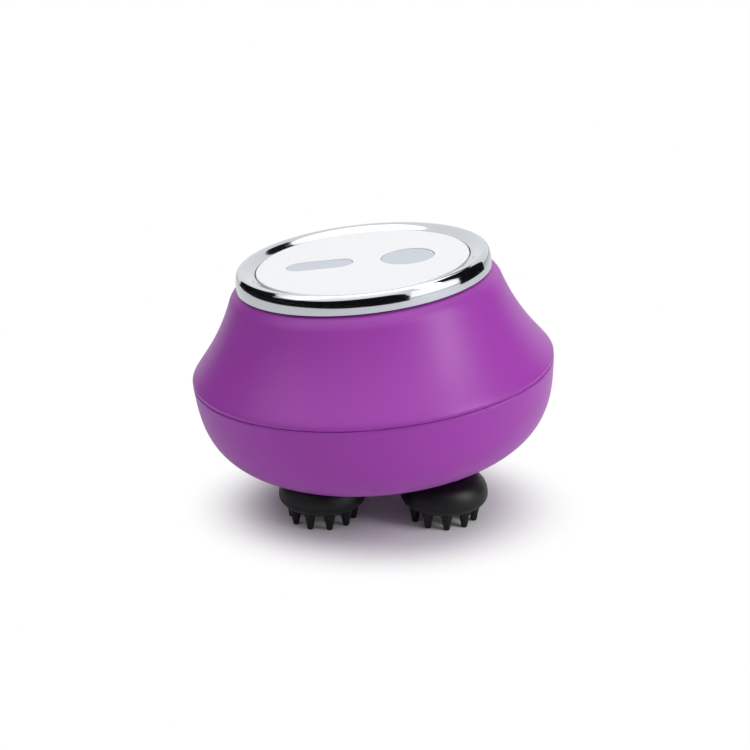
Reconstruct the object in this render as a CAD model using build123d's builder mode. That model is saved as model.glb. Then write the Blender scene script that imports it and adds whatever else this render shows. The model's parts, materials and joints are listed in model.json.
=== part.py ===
from build123d import *
from math import acos, atan2, cos, degrees, floor, pi, radians, sin, sqrt, tan
import os

# Cordless scalp massager with four spinning heads of soft fingers.
# Millimetres, +Z up.  z = 0 is the table under the finger tips and the origin lies under the
# middle of the shell.  The shell leans toward -X; the heads, shafts and gears stand upright.

# ---- shell: driving dimensions -----------------------------------------------------------
seam_radius = 52.5          # widest radius of the shell, at its parting line
body_lean = 4.84            # the shell's axis leans this many degrees toward -X
shell_wall = 2.2
bowl_depth = 28.3           # parting plane down to the bowl's flat floor
bowl_lift = 12.7            # bowl's floor above the table, along the shell's axis
seam_height = bowl_depth + bowl_lift
bowl_floor_radius = 18.0
bowl_side_depth = 11.0      # how far the bowl's side stays nearly upright
bowl_side_draft = 1.0
bowl_turn_draft = 0.9
seam_bevel = 0.6            # rounded edge of each half at the parting line
brim_height = 1.1           # the upper half's brim is upright this far
neck_radius = 38.0
neck_height = 27.2
belly_inset = 0.9
belly_height = 3.45
waist_flare = 4.9
waist_height = 10.8
belly_point = (seam_radius - belly_inset, belly_height)  # control points of the waisted flare
waist_point = (neck_radius + waist_flare, waist_height)
neck_reach = 2.2            # the neck runs on this far before the face plane trims it
neck_edge_round = 6.0
lip_inset = 3.9
lip_outer_radius = seam_radius - lip_inset  # locating lip of the bowl inside the upper half
lip_wall = 1.2
lip_rise = 1.8
lip_root = 4.5
gasket_width = 0.7
gasket_height = 1.0

# ---- top face: ring, panel and keys ------------------------------------------------------
face_lean = 6.0             # the top face leans a little more than the shell
face_height = 27.2          # along the shell's axis, parting plane to ring seat
face_shift = -0.3
ring_inset = 1.35           # the shell's shoulder stands this far beyond the ring
ring_width = 5.7
ring_outer_radius = neck_radius - ring_inset
ring_inner_radius = ring_outer_radius - ring_width
ring_height = 5.5
ring_crest_inset = 2.45     # the ring's highest line, in from its outside
ring_inner_height = 3.9
ring_wall_height = 2.6      # the ring's outside is upright this far
ring_bore_slope = (0.25, 1)  # directions of the ring's outline where its curve starts and ends
ring_wall_slope = (0, -1)
panel_gap = 0.35
panel_top = 4.0             # panel surface above the ring seat
panel_thickness = 1.8
panel_skirt_width = 1.7
panel_edge_chamfer = 0.2
panel_gasket_thickness = 0.5
key_gap = 0.15
key_top = 3.9
key_edge_round = 0.3
key_flange = 1.0            # how far the flange under the panel stands out
key_flange_thickness = 0.8
key_lift_gap = 0.2          # flange to panel at rest
key_travel = 0.6
stem_radius = 2.0
stem_hole_gap = 0.6
round_key_x = 13.0
round_key_radius = 7.65
slot_key_x = -12.3
slot_key_length = 19.0
slot_key_width = 8.0
switch_size = 6.0
switch_height = 2.5
plunger_radius = 1.7
plunger_rise = 0.9
plunger_depth = 1.3
board_thickness = 1.6
control_board_inset = 11.0
control_board_radius = neck_radius - control_board_inset
control_post_inset = 3.95
control_post_offset = (control_board_radius - control_post_inset) / sqrt(2)
control_post_radius = 2.6
ring_screw_inset = 5.0
ring_screw_offset = (neck_radius - ring_screw_inset) / sqrt(2)
control_parts = ((0, -14.0, 8.0, 4.5), (0, 6.0, 5.0, 5.0))  # x, y, length, width
control_parts_height = 1.4

# ---- drive train -------------------------------------------------------------------------
drive_x = 3.0               # middle of the four heads, from the shell's axis
head_pitch = seam_radius * 2 / 3  # square pitch of the four heads
drive_teeth = 26
head_teeth = 40
gear_module = sqrt(2) * head_pitch / (drive_teeth + head_teeth)  # so that all four gears mesh
pressure_angle = 20.0
backlash = 0.12
tooth_dedendum = 1.25       # tooth depth below the pitch circle, in modules
flank_start_factor = 1.002  # the flank starts this little outside the base circle
tooth_foot_factor = 0.97    # the tooth's foot sinks this far inside the root circle
gear_face = 5.0
running_gap = 0.04          # shaft in bush, radial
axial_gap = 0.1
shaft_radius = 2.5
shaft_recess = 0.4          # shaft end below the top of the gearbox cover
shaft_chamfer = 0.4
bush_radius = 4.0
bush_flange_radius = 5.2
bush_flange = 0.8
gear_plate_z = 20.5
plate_thickness = 2.5
pillar_offset = head_pitch * 26 / 35
gear_plate_rim = 4.5        # plate beyond the middle of its pillars
cover_rim = 7.0
gear_plate_radius = pillar_offset + gear_plate_rim
cover_radius = pillar_offset + cover_rim
pillar_radius = 2.6
hub_radius = 6.0
hub_rise = 0.6              # hub face below the toothed rim
hub_length = 7.5
output_boss_radius = 5.0
gearbox_inset = 5.3
gearbox_radius = head_pitch / 2 - gearbox_inset
gearbox_height = 11.5
motor_inset = 0.3
motor_radius = gearbox_radius - motor_inset
motor_reach = 16.3          # top of the motor above the parting line
motor_edge_round = 1.2
motor_cap_radius = 5.0
motor_cap_height = 0.8
motor_screw_inset = 3.7
motor_screw_offset = gearbox_radius - motor_screw_inset

# ---- heads -------------------------------------------------------------------------------
fingers_per_head = 10
finger_circle = 8.9
finger_root_radius = 1.6
finger_tip_radius = 0.95
finger_tip_round = 0.4
finger_root_z = 6.0
dome_radius = 12.6
dome_belly_z = 7.9
dome_floor_z = 4.0
dome_floor_radius = 8.4
dome_top_z = 13.2
dome_top_radius = 9.0
dome_floor_slope = (1, 0.08)  # directions of the dome's outline where its curve starts and ends
dome_top_slope = (-1, 0.35)
cap_wall = 1.5
carrier_radius = 10.7
carrier_floor_z = 5.9
carrier_top_z = 11.6
carrier_round = 1.6
carrier_hub_radius = 4.6
shaft_seat_z = 8.6
# Angle of each head's first finger, from -Y toward +X.
finger_phase = {"front_left": 14.0, "front_right": 3.5, "rear_left": 8.0, "rear_right": 20.0}

# ---- bottom of the bowl ------------------------------------------------------------------
well_radius = 14.2          # flat round well above each head
well_ceiling_z = 13.8
well_floor_wall = 2.2
collar_radius = 6.6
collar_top_z = 19.2
throat_radius = 3.0
seal_radius = 5.0
seal_floor_z = 15.2
seal_top_z = 18.8
bowl_pillar_radius = 3.0
closure_inset = 11.5
closure_circle = seam_radius - closure_inset
closure_angle = 15.0        # each screw tower from the shell's X axis, in degrees
closure_boss_radius = 3.5
closure_seat_depth = 18.0   # screw seat below the parting plane
closure_pilot_depth = 8.0
closure_screw_length = 25.0
contact_spacing = 8.0
contact_head_radius = 1.8
contact_stem_radius = 1.2
contact_stem_length = 5.5
contact_recess = 0.5

# ---- battery and main board --------------------------------------------------------------
cell_radius = seam_radius * 6 / 35
cell_length = 50.0
cell_gap = 2.8              # cell to gearbox
cell_y = gearbox_radius + cell_gap + cell_radius
cell_edge_round = 0.8
cell_nub_radius = 3.0
cell_nub_length = 1.0
cradle_base = 1.6
cradle_wall = 1.2
cradle_length = 38.0
cradle_width = 12.0
cradle_strap_width = 4.0    # strip that joins the two screw ears
saddle_wrap = 0.35          # the saddles reach this share of the cell's radius above its middle
saddle_width = 4.0
saddle_spacing = 26.0
cradle_ear_x = 24.0
cradle_ear_inset = 9.8
cradle_ear_y = cell_y - cradle_ear_inset
cradle_ear_radius = 3.0
main_board_length = 42.0
main_board_width = 17.0
main_board_gap = 2.3        # board to gearbox
main_board_y = -(gearbox_radius + main_board_gap + main_board_width / 2)
main_post_x = 15.0
main_post_y = 3.2
main_post_height = 3.2
main_post_radius = 2.0
main_block_parts = (        # x and y from the board's middle, length, width, height
    (0, 3.0, 7.0, 7.0, 1.2),
    (-8.5, 0, 6.0, 6.0, 3.0),
    (-4.0, -5.5, 7.0, 4.0, 4.5),
    (5.0, -5.5, 7.0, 4.0, 4.5),
)
capacitor_x = 8.5
capacitor_radius = 2.5
capacitor_height = 6.0

# ---- screws: shank radius, head radius, head height --------------------------------------
m2_screw = (1.0, 1.8, 1.2)
m25_screw = (1.2, 2.3, 1.3)
m3_screw = (1.4, 2.7, 1.8)
thread_gap = 0.03           # solid shank in its pilot hole
screw_clearance = 0.2       # shank in a plain hole
screw_bite = 3.0            # how far the small screws reach into their pilot holes
cradle_screw_bite = 2.2
motor_screw_bite = 3.5
head_screw_length = 6.0
pilot_room = 0.4            # a blind pilot hole is this much deeper than its screw

# ---- planes and places worked out from the dimensions ------------------------------------
lean = radians(body_lean)
tilt = radians(face_lean)
body_up = Vector(-sin(lean), 0, cos(lean))
body_plane = Plane(origin=(0, 0, seam_height), x_dir=(cos(lean), 0, sin(lean)), z_dir=body_up)
body_section = Plane(origin=body_plane.origin, x_dir=body_plane.x_dir, z_dir=(0, -1, 0))
body_axis = Axis(body_plane.origin, body_up)

face_origin = body_plane.origin + body_up * face_height + Vector(face_shift, 0, 0)
face_up = Vector(-sin(tilt), 0, cos(tilt))
face_plane = Plane(origin=face_origin, x_dir=(cos(tilt), 0, sin(tilt)), z_dir=face_up)
face_section = Plane(origin=face_origin, x_dir=face_plane.x_dir, z_dir=(0, -1, 0))
face_axis = Axis(face_origin, face_up)

half_pitch = head_pitch / 2
head_places = {
    "front_left": (drive_x - half_pitch, -half_pitch),
    "front_right": (drive_x + half_pitch, -half_pitch),
    "rear_left": (drive_x - half_pitch, half_pitch),
    "rear_right": (drive_x + half_pitch, half_pitch),
}
pillar_places = [
    (drive_x + pillar_offset, 0),
    (drive_x, pillar_offset),
    (drive_x - pillar_offset, 0),
    (drive_x, -pillar_offset),
]
closure_places = [
    (x * closure_circle * cos(radians(closure_angle)), y * closure_circle * sin(radians(closure_angle)))
    for x, y in ((1, 1), (-1, 1), (-1, -1), (1, -1))
]
ring_screw_places = [
    (ring_screw_offset, ring_screw_offset),
    (-ring_screw_offset, ring_screw_offset),
    (-ring_screw_offset, -ring_screw_offset),
    (ring_screw_offset, -ring_screw_offset),
]
control_post_places = [
    (x, y)
    for x in (-control_post_offset, control_post_offset)
    for y in (-control_post_offset, control_post_offset)
]
main_post_places = [
    (drive_x + x, main_board_y + y)
    for x in (-main_post_x, main_post_x)
    for y in (-main_post_y, main_post_y)
]
motor_screw_places = [(drive_x - motor_screw_offset, 0), (drive_x + motor_screw_offset, 0)]
cradle_screw_places = [
    (drive_x - cradle_ear_x, cradle_ear_y),
    (drive_x + cradle_ear_x, cradle_ear_y),
]
contact_places = [(drive_x - contact_spacing / 2, 0), (drive_x + contact_spacing / 2, 0)]

plate_top = gear_plate_z + plate_thickness
hub_bottom = plate_top + bush_flange + axial_gap
gear_bottom = hub_bottom + hub_rise
hub_top = hub_bottom + hub_length
cover_z = hub_top + axial_gap + bush_flange
cover_top = cover_z + plate_thickness
gearbox_top = cover_top + gearbox_height
motor_top = seam_height + motor_reach
shaft_top = cover_top - shaft_recess

panel_floor = panel_top - panel_thickness
flange_top = panel_floor - key_lift_gap
flange_bottom = flange_top - key_flange_thickness
stem_bottom = -shell_wall - key_travel
switch_top = stem_bottom - plunger_rise
control_board_top = switch_top - switch_height
control_board_bottom = control_board_top - board_thickness

main_board_z = cover_top + main_post_height
main_board_top = main_board_z + board_thickness
cell_z = cover_top + cradle_base + cell_radius


def bowl_side(inset, rim_height):
    """Control points of the bowl's side, from the parting plane to the flat floor."""
    return [
        (seam_radius - inset, rim_height),
        (seam_radius - bowl_side_draft - inset, -bowl_side_depth),
        (seam_radius - bowl_turn_draft - inset, inset - bowl_depth),
        (bowl_floor_radius, inset - bowl_depth),
    ]


def flare_side(inset, rim_height):
    """Control points of the waisted flare, from the brim up to the neck."""
    drop = inset / 2
    return [
        (seam_radius - inset, rim_height),
        (belly_point[0] - inset, belly_point[1] - drop),
        (waist_point[0] - inset, waist_point[1] - drop),
        (neck_radius - inset, neck_height - drop),
    ]


def past_neck(side):
    """End of the straight run on from the neck, along the flare's last slope."""
    waist, neck = side[2], side[3]
    taper = (waist[0] - neck[0]) / (neck[1] - waist[1])
    return (neck[0] - taper * neck_reach, neck[1] + neck_reach)


def screw(place, screw_size, length):
    """A pan-head screw: its head stands on the place's plane and its shank runs down from it."""
    shank, head, head_height = screw_size
    with BuildPart() as one_screw:
        with BuildSketch(place):
            Circle(head)
        extrude(amount=head_height)
        crown = one_screw.faces().sort_by(Axis(place.origin, place.z_dir))[-1]
        fillet(crown.edges(), head_height / 2)
        with BuildSketch(place):
            Circle(shank)
        extrude(amount=-length)
    return one_screw.part


def screw_group(places, screw_size, length):
    """The same screw at each of several places, kept as separate solids."""
    return Compound(children=[screw(place, screw_size, length) for place in places])


def upward(plane):
    """The same place looking the other way, for screws driven from below."""
    return Plane(origin=plane.origin, x_dir=plane.x_dir, z_dir=-plane.z_dir)


def on_plane(plane, height, places):
    """Planes parallel to the given one, at a height over it, at each place."""
    raised = plane.offset(height)
    return [
        Plane(origin=raised.from_local_coords((x, y, 0)), x_dir=raised.x_dir, z_dir=raised.z_dir)
        for x, y in places
    ]


def involute(angle):
    return tan(angle) - angle


def gear_sketch(teeth):
    """Spur gear face with one tooth centred on +X and involute flanks."""
    pitch_radius = gear_module * teeth / 2
    base_radius = pitch_radius * cos(radians(pressure_angle))
    tip_radius = pitch_radius + gear_module
    root_radius = pitch_radius - tooth_dedendum * gear_module
    half_tooth = (pi * gear_module / 2 - backlash) / (2 * pitch_radius)
    base_half = half_tooth + involute(radians(pressure_angle))
    flank_start = max(base_radius, root_radius) * flank_start_factor

    def flank(radius, side):
        turn = side * (base_half - involute(acos(base_radius / radius)))
        return (radius * cos(turn), radius * sin(turn))

    foot_radius = tooth_foot_factor * root_radius
    foot = (foot_radius * cos(base_half), foot_radius * sin(base_half))
    with BuildSketch() as tooth:
        with BuildLine():
            Line((foot[0], -foot[1]), flank(flank_start, -1))
            ThreePointArc(flank(flank_start, -1), flank(pitch_radius, -1), flank(tip_radius, -1))
            Line(flank(tip_radius, -1), flank(tip_radius, 1))
            ThreePointArc(flank(tip_radius, 1), flank(pitch_radius, 1), flank(flank_start, 1))
            Line(flank(flank_start, 1), foot)
            Line(foot, (foot[0], -foot[1]))
        make_face()
    with BuildSketch() as face:
        Circle(root_radius)
        with PolarLocations(0, teeth):
            add(tooth.sketch)
    return face.sketch


def save(part, name):
    part.label = name
    export_step(part, f"parts/{name}.step")


os.makedirs("parts", exist_ok=True)

# ---- lower shell: bowl with wells, collars, pillars and screw towers ---------------------
# The hollow is made first, with the pads, pillars and towers left standing in it.
with BuildPart() as bowl_hollow:
    with BuildSketch(body_section):
        with BuildLine():
            side = bowl_side(shell_wall, 0)
            Bezier(*side)
            Polyline(side[-1], (0, side[-1][1]), (0, 0), side[0])
        make_face()
    revolve(axis=body_axis)
    with BuildSketch(Plane.XY):
        with Locations(*head_places.values()):
            Circle(well_radius + shell_wall)
    extrude(amount=well_ceiling_z + well_floor_wall, mode=Mode.SUBTRACT)
    with BuildSketch(Plane.XY):
        with Locations(*pillar_places):
            Circle(bowl_pillar_radius)
    extrude(amount=gear_plate_z, mode=Mode.SUBTRACT)
    with BuildSketch(body_plane):
        with Locations(*closure_places):
            Circle(closure_boss_radius)
    extrude(amount=-bowl_depth, mode=Mode.SUBTRACT)

with BuildPart() as lower_shell:
    with BuildSketch(body_section):
        with BuildLine():
            side = bowl_side(0, -seam_bevel)
            Bezier(*side)
            Polyline(side[-1], (0, side[-1][1]), (0, 0), (seam_radius - seam_bevel, 0))
            RadiusArc((seam_radius - seam_bevel, 0), side[0], seam_bevel)
        make_face()
    revolve(axis=body_axis)
    add(bowl_hollow.part, mode=Mode.SUBTRACT)
    with BuildSketch(body_section):
        with BuildLine():
            Polyline(
                (lip_outer_radius - lip_wall, lip_rise),
                (lip_outer_radius, lip_rise),
                (lip_outer_radius, 0),
                (seam_radius - shell_wall / 2, 0),
                (seam_radius - shell_wall / 2, -lip_root),
                (lip_outer_radius - lip_wall, -lip_root / 2),
                close=True,
            )
        make_face()
    revolve(axis=body_axis)
    with BuildSketch():
        with Locations(*head_places.values()):
            Circle(well_radius)
    extrude(amount=well_ceiling_z, mode=Mode.SUBTRACT)
    with BuildSketch(Plane.XY.offset(well_ceiling_z)):
        with Locations(*head_places.values()):
            Circle(collar_radius)
    extrude(amount=collar_top_z - well_ceiling_z)
    with BuildSketch(Plane.XY.offset(well_ceiling_z)):
        with Locations(*head_places.values()):
            Circle(throat_radius)
    extrude(amount=collar_top_z - well_ceiling_z, mode=Mode.SUBTRACT)
    with BuildSketch(Plane.XY.offset(seal_floor_z)):
        with Locations(*head_places.values()):
            Circle(seal_radius)
    extrude(amount=collar_top_z - seal_floor_z, mode=Mode.SUBTRACT)
    with BuildSketch(Plane.XY.offset(gear_plate_z)):
        with Locations(*pillar_places):
            Circle(m25_screw[0] + thread_gap)
    extrude(amount=-screw_bite - pilot_room, mode=Mode.SUBTRACT)
    with BuildSketch(body_plane):
        with Locations(*closure_places):
            Circle(m3_screw[0] + screw_clearance)
    extrude(amount=-bowl_depth, mode=Mode.SUBTRACT)
    with BuildSketch(body_plane.offset(-closure_seat_depth)):
        with Locations(*closure_places):
            Circle(m3_screw[1] + screw_clearance)
    extrude(amount=-bowl_depth, mode=Mode.SUBTRACT)
    with BuildSketch(body_plane.offset(-bowl_depth)):
        with Locations(*contact_places):
            Circle(contact_stem_radius + thread_gap)
    extrude(amount=2 * shell_wall, mode=Mode.SUBTRACT)
    with BuildSketch(body_plane.offset(-bowl_depth)):
        with Locations(*contact_places):
            Circle(contact_head_radius + screw_clearance)
    extrude(amount=contact_recess, mode=Mode.SUBTRACT)
save(lower_shell.part, "lower_shell")

with BuildPart() as charge_contacts:
    with BuildSketch(body_plane.offset(-bowl_depth)):
        with Locations(*contact_places):
            Circle(contact_head_radius)
    extrude(amount=contact_recess)
    with BuildSketch(body_plane.offset(-bowl_depth)):
        with Locations(*contact_places):
            Circle(contact_stem_radius)
    extrude(amount=contact_stem_length)
save(charge_contacts.part, "charge_contacts")

with BuildPart() as seam_gasket:
    with BuildSketch(body_section):
        with Locations((lip_outer_radius + gasket_width / 2, gasket_height / 2)):
            Rectangle(gasket_width, gasket_height)
    revolve(axis=body_axis)
save(seam_gasket.part, "seam_gasket")

# ---- upper shell: waisted flare with a deck under the top face ---------------------------
with BuildPart() as flare_hollow:
    with BuildSketch(body_section):
        with BuildLine():
            side = flare_side(shell_wall, 0)
            neck_end = past_neck(side)
            Bezier(*side)
            Polyline(side[-1], neck_end, (0, neck_end[1]), (0, 0), side[0])
        make_face()
    revolve(axis=body_axis)
    split(bisect_by=face_plane.offset(-shell_wall), keep=Keep.BOTTOM)
    with BuildSketch(body_plane):
        with Locations(*closure_places):
            Circle(closure_boss_radius)
    extrude(amount=neck_height, mode=Mode.SUBTRACT)
    with BuildSketch(face_plane):
        with Locations(*control_post_places):
            Circle(control_post_radius)
    extrude(amount=control_board_top, mode=Mode.SUBTRACT)

with BuildPart() as upper_shell:
    with BuildSketch(body_section):
        with BuildLine():
            side = flare_side(0, brim_height)
            neck_end = past_neck(side)
            Bezier(*side)
            Polyline(side[-1], neck_end, (0, neck_end[1]), (0, 0), (seam_radius - seam_bevel, 0))
            RadiusArc((seam_radius - seam_bevel, 0), (seam_radius, seam_bevel), -seam_bevel)
            Line((seam_radius, seam_bevel), side[0])
        make_face()
    revolve(axis=body_axis)
    split(bisect_by=face_plane, keep=Keep.BOTTOM)
    fillet(upper_shell.faces().sort_by(face_axis)[-1].edges(), neck_edge_round)
    add(flare_hollow.part, mode=Mode.SUBTRACT)
    with BuildSketch(face_plane.offset(control_board_top)):
        with Locations(*control_post_places):
            Circle(m2_screw[0] + thread_gap)
    extrude(amount=-control_board_top - shell_wall, mode=Mode.SUBTRACT)
    with BuildSketch(face_plane):
        with Locations((slot_key_x, 0), (round_key_x, 0)):
            Circle(stem_radius + stem_hole_gap)
        with Locations(*ring_screw_places):
            Circle(m2_screw[0] + screw_clearance)
    extrude(amount=-shell_wall, mode=Mode.SUBTRACT)
    with BuildSketch(body_plane):
        with Locations(*closure_places):
            Circle(m3_screw[0] + thread_gap)
    extrude(amount=closure_pilot_depth, mode=Mode.SUBTRACT)
save(upper_shell.part, "upper_shell")

# ---- top face ----------------------------------------------------------------------------
with BuildPart() as bezel_ring:
    with BuildSketch(face_section):
        with BuildLine():
            Line((ring_inner_radius, 0), (ring_inner_radius, ring_inner_height))
            crest = (ring_outer_radius - ring_crest_inset, ring_height)
            wall_top = (ring_outer_radius, ring_wall_height)
            Spline(
                (ring_inner_radius, ring_inner_height), crest, wall_top,
                tangents=(ring_bore_slope, ring_wall_slope),
            )
            Polyline(wall_top, (ring_outer_radius, 0), (ring_inner_radius, 0))
        make_face()
    revolve(axis=face_axis)
    with BuildSketch(face_plane):
        with Locations(*ring_screw_places):
            Circle(m2_screw[0] + thread_gap)
    extrude(amount=screw_bite + pilot_room, mode=Mode.SUBTRACT)
save(bezel_ring.part, "bezel_ring")

panel_radius = ring_inner_radius - panel_gap
with BuildPart() as top_panel:
    with BuildSketch(face_plane.offset(panel_gasket_thickness)):
        Circle(panel_radius)
    extrude(amount=panel_top - panel_gasket_thickness)
    chamfer(top_panel.faces().sort_by(face_axis)[-1].edges(), panel_edge_chamfer)
    with BuildSketch(face_plane.offset(panel_gasket_thickness)):
        Circle(panel_radius - panel_skirt_width)
    extrude(amount=panel_floor - panel_gasket_thickness, mode=Mode.SUBTRACT)
    with BuildSketch(face_plane.offset(panel_floor)):
        with Locations((round_key_x, 0)):
            Circle(round_key_radius + key_gap)
        with Locations((slot_key_x, 0)):
            SlotOverall(slot_key_length + 2 * key_gap, slot_key_width + 2 * key_gap)
    extrude(amount=panel_thickness, mode=Mode.SUBTRACT)
save(top_panel.part, "top_panel")

with BuildPart() as panel_gasket:
    with BuildSketch(face_plane):
        Circle(panel_radius)
        Circle(panel_radius - panel_skirt_width, mode=Mode.SUBTRACT)
    extrude(amount=panel_gasket_thickness)
save(panel_gasket.part, "panel_gasket")

with BuildPart() as power_button:
    with BuildSketch(face_plane.offset(flange_bottom)):
        with Locations((round_key_x, 0)):
            Circle(round_key_radius)
    extrude(amount=key_top - flange_bottom)
    fillet(power_button.faces().sort_by(face_axis)[-1].edges(), key_edge_round)
    with BuildSketch(face_plane.offset(flange_bottom)):
        with Locations((round_key_x, 0)):
            Circle(round_key_radius + key_flange)
    extrude(amount=key_flange_thickness)
    with BuildSketch(face_plane.offset(stem_bottom)):
        with Locations((round_key_x, 0)):
            Circle(stem_radius)
    extrude(amount=flange_bottom - stem_bottom)
save(power_button.part, "power_button")

with BuildPart() as mode_button:
    with BuildSketch(face_plane.offset(flange_bottom)):
        with Locations((slot_key_x, 0)):
            SlotOverall(slot_key_length, slot_key_width)
    extrude(amount=key_top - flange_bottom)
    fillet(mode_button.faces().sort_by(face_axis)[-1].edges(), key_edge_round)
    with BuildSketch(face_plane.offset(flange_bottom)):
        with Locations((slot_key_x, 0)):
            SlotOverall(slot_key_length + 2 * key_flange, slot_key_width + 2 * key_flange)
    extrude(amount=key_flange_thickness)
    with BuildSketch(face_plane.offset(stem_bottom)):
        with Locations((slot_key_x, 0)):
            Circle(stem_radius)
    extrude(amount=flange_bottom - stem_bottom)
save(mode_button.part, "mode_button")

for key_name, key_x in (("power", round_key_x), ("mode", slot_key_x)):
    with BuildPart() as switch_body:
        with BuildSketch(face_plane.offset(control_board_top)):
            with Locations((key_x, 0)):
                Rectangle(switch_size, switch_size)
        extrude(amount=switch_height)
        with BuildSketch(face_plane.offset(switch_top)):
            with Locations((key_x, 0)):
                Circle(plunger_radius + running_gap)
        extrude(amount=-plunger_depth - key_travel, mode=Mode.SUBTRACT)
    save(switch_body.part, f"{key_name}_switch_body")

    with BuildPart() as switch_plunger:
        with BuildSketch(face_plane.offset(stem_bottom)):
            with Locations((key_x, 0)):
                Circle(plunger_radius)
        extrude(amount=-plunger_rise - plunger_depth)
    save(switch_plunger.part, f"{key_name}_switch_plunger")

with BuildPart() as control_board:
    with BuildSketch(face_plane.offset(control_board_bottom)):
        Circle(control_board_radius)
        with Locations(*control_post_places):
            Circle(m2_screw[0] + screw_clearance, mode=Mode.SUBTRACT)
    extrude(amount=board_thickness)
save(control_board.part, "control_board")

with BuildPart() as control_board_parts:
    with BuildSketch(face_plane.offset(control_board_bottom)):
        for x, y, length, width in control_parts:
            with Locations((x, y)):
                Rectangle(length, width)
    extrude(amount=-control_parts_height)
save(control_board_parts.part, "control_board_parts")


control_seats = [upward(p) for p in on_plane(face_plane, control_board_bottom, control_post_places)]
save(screw_group(control_seats, m2_screw, board_thickness + screw_bite), "control_board_screws")
ring_seats = [upward(p) for p in on_plane(face_plane, -shell_wall, ring_screw_places)]
save(screw_group(ring_seats, m2_screw, shell_wall + screw_bite), "ring_screws")
closure_seats = [upward(p) for p in on_plane(body_plane, -closure_seat_depth, closure_places)]
save(screw_group(closure_seats, m3_screw, closure_screw_length), "closure_screws")

# ---- drive frame -------------------------------------------------------------------------
with BuildPart() as gear_plate:
    with BuildSketch(Plane.XY.offset(gear_plate_z)):
        with Locations((drive_x, 0)):
            Circle(gear_plate_radius)
    extrude(amount=plate_thickness)
    with BuildSketch(Plane.XY.offset(plate_top)):
        with Locations(*pillar_places):
            Circle(pillar_radius)
    extrude(amount=cover_z - plate_top)
    with BuildSketch(Plane.XY.offset(gear_plate_z)):
        with Locations(*pillar_places):
            Circle(m25_screw[0] + screw_clearance)
        with Locations(*head_places.values()):
            Circle(bush_radius)
    extrude(amount=cover_z - gear_plate_z, mode=Mode.SUBTRACT)
save(gear_plate.part, "gear_plate")

with BuildPart() as gearbox_cover:
    with BuildSketch(Plane.XY.offset(cover_z)):
        with Locations((drive_x, 0)):
            Circle(cover_radius)
    extrude(amount=plate_thickness)
    with BuildSketch(Plane.XY.offset(cover_top)):
        with Locations(*main_post_places):
            Circle(main_post_radius)
    extrude(amount=main_post_height)
    with BuildSketch(Plane.XY.offset(cover_z)):
        with Locations(*main_post_places):
            Circle(m2_screw[0] + thread_gap)
        with Locations(*cradle_screw_places):
            Circle(m2_screw[0] + thread_gap)
        with Locations(*pillar_places):
            Circle(m25_screw[0] + screw_clearance)
        with Locations(*motor_screw_places):
            Circle(m2_screw[0] + screw_clearance)
        with Locations(*head_places.values()):
            Circle(bush_radius)
        with Locations((drive_x, 0)):
            Circle(output_boss_radius + screw_clearance)
    extrude(amount=plate_thickness + main_post_height, mode=Mode.SUBTRACT)
save(gearbox_cover.part, "gearbox_cover")

frame_seats = on_plane(Plane.XY, cover_top, pillar_places)
frame_screw_length = cover_top - gear_plate_z + screw_bite
save(screw_group(frame_seats, m25_screw, frame_screw_length), "frame_screws")

with BuildPart() as lower_bushes:
    for x, y in head_places.values():
        with BuildSketch(Plane.XY.offset(gear_plate_z)):
            with Locations((x, y)):
                Circle(bush_radius)
        extrude(amount=plate_thickness)
        with BuildSketch(Plane.XY.offset(plate_top)):
            with Locations((x, y)):
                Circle(bush_flange_radius)
        extrude(amount=bush_flange)
    with BuildSketch(Plane.XY.offset(gear_plate_z)):
        with Locations(*head_places.values()):
            Circle(shaft_radius + running_gap)
    extrude(amount=plate_thickness + bush_flange, mode=Mode.SUBTRACT)
save(lower_bushes.part, "lower_bushes")

with BuildPart() as upper_bushes:
    for x, y in head_places.values():
        with BuildSketch(Plane.XY.offset(cover_z)):
            with Locations((x, y)):
                Circle(bush_radius)
        extrude(amount=plate_thickness)
        with BuildSketch(Plane.XY.offset(cover_z - bush_flange)):
            with Locations((x, y)):
                Circle(bush_flange_radius)
        extrude(amount=bush_flange)
    with BuildSketch(Plane.XY.offset(cover_z - bush_flange)):
        with Locations(*head_places.values()):
            Circle(shaft_radius + running_gap)
    extrude(amount=plate_thickness + bush_flange, mode=Mode.SUBTRACT)
save(upper_bushes.part, "upper_bushes")

with BuildPart() as shaft_seals:
    with BuildSketch(Plane.XY.offset(seal_floor_z)):
        with Locations(*head_places.values()):
            Circle(seal_radius)
            Circle(shaft_radius + running_gap, mode=Mode.SUBTRACT)
    extrude(amount=seal_top_z - seal_floor_z)
save(shaft_seals.part, "shaft_seals")

# ---- gearmotor ---------------------------------------------------------------------------
with BuildPart() as gearbox_housing:
    with BuildSketch(Plane.XY.offset(cover_top)):
        with Locations((drive_x, 0)):
            Circle(gearbox_radius)
    extrude(amount=gearbox_height)
    with BuildSketch(Plane.XY.offset(cover_z)):
        with Locations((drive_x, 0)):
            Circle(output_boss_radius)
    extrude(amount=plate_thickness)
    with BuildSketch(Plane.XY.offset(cover_z)):
        with Locations((drive_x, 0)):
            Circle(shaft_radius + running_gap)
    extrude(amount=plate_thickness + gearbox_height / 2, mode=Mode.SUBTRACT)
    with BuildSketch(Plane.XY.offset(cover_top)):
        with Locations(*motor_screw_places):
            Circle(m2_screw[0] + thread_gap)
    extrude(amount=motor_screw_bite + pilot_room, mode=Mode.SUBTRACT)
save(gearbox_housing.part, "gearbox_housing")

with BuildPart() as motor_can:
    with BuildSketch(Plane.XY.offset(gearbox_top)):
        with Locations((drive_x, 0)):
            Circle(motor_radius)
    extrude(amount=motor_top - gearbox_top)
    fillet(motor_can.faces().sort_by(Axis.Z)[-1].edges(), motor_edge_round)
save(motor_can.part, "motor_can")

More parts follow.
